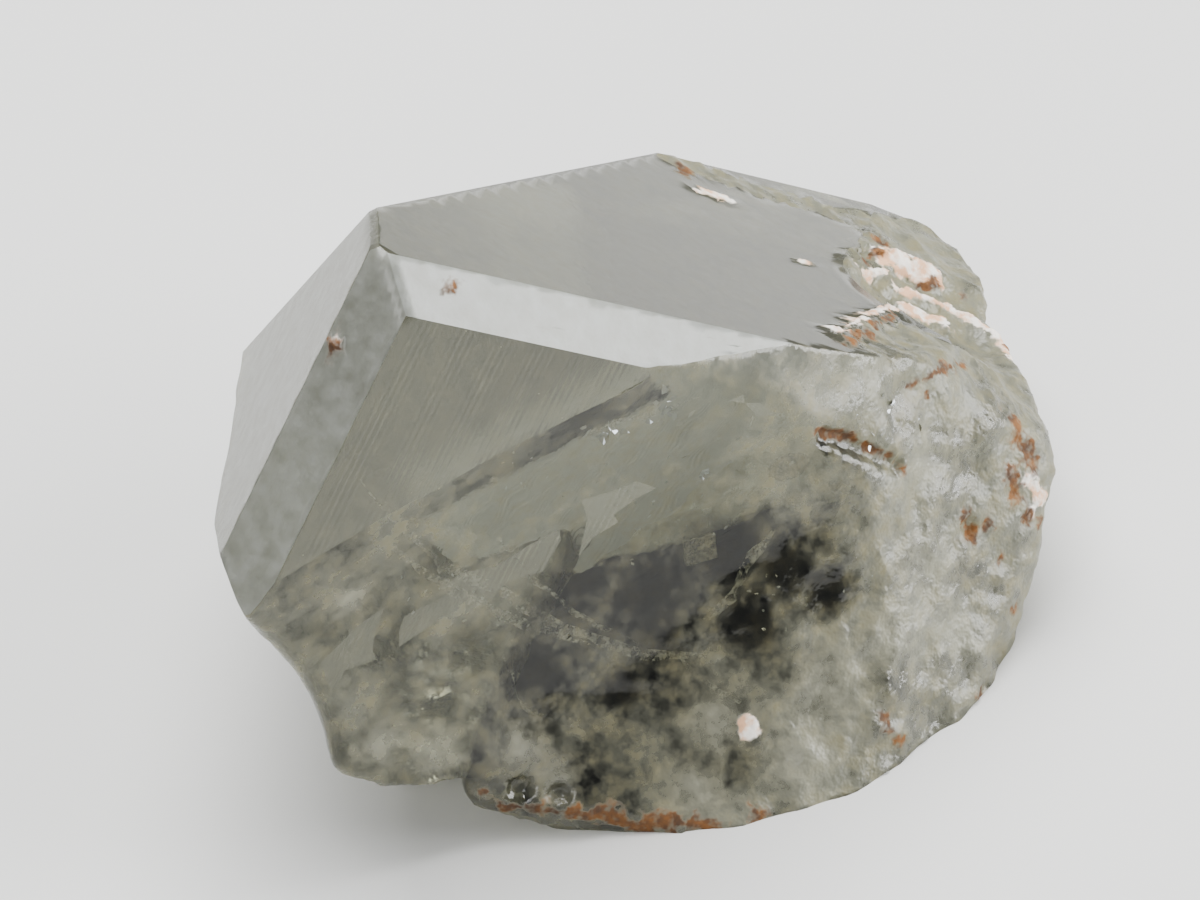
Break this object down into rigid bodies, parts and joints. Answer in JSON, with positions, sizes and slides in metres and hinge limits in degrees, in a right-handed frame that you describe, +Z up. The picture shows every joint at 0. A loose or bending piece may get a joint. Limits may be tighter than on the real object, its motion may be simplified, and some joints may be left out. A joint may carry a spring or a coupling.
{
  "type": "goshenite crystal",
  "caption": "Single clear colourless beryl crystal with flat prism and pyramid faces, broken on its right and below, resting on a flat base.",
  "frame": {"origin": "middle of the bounding box at the level of the flat base", "axes": "+Z up; the picture looks along +Y and down, with +X to its right"},
  "size_m": [0.0536, 0.0554, 0.0451],
  "materials": {
    "clear_beryl": "glassy crystal faces, etched and iron-stained on the broken sides"
  },
  "bodies": {
    "root": {"goshenite_crystal": "clear_beryl"}
  },
  "joints": []
}
